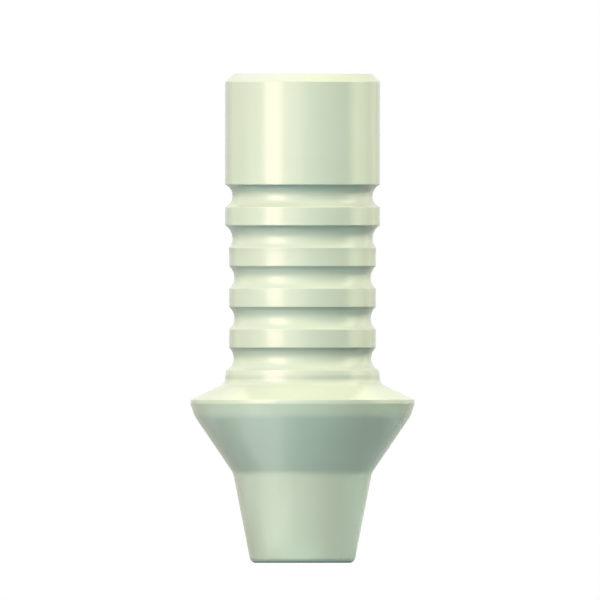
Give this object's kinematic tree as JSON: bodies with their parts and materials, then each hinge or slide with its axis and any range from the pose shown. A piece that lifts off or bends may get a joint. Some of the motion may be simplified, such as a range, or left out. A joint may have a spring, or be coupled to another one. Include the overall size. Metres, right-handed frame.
{
  "type": "dental implant abutment",
  "caption": "Temporary dental abutment: tapered implant cone, flared collar with a sloping shoulder, and a waisted post with ring grooves around a stepped screw channel.",
  "frame": {"origin": "centre of the tip face, at the lower end of the implant cone", "axes": "+Z along the axis from the implant cone to the top of the post; the part is round, so X and Y are free"},
  "size_m": [0.0054, 0.0054, 0.012],
  "materials": {
    "polymer": "satin turned tooth-coloured polymer"
  },
  "bodies": {
    "root": {"abutment_body": "polymer"}
  },
  "joints": []
}
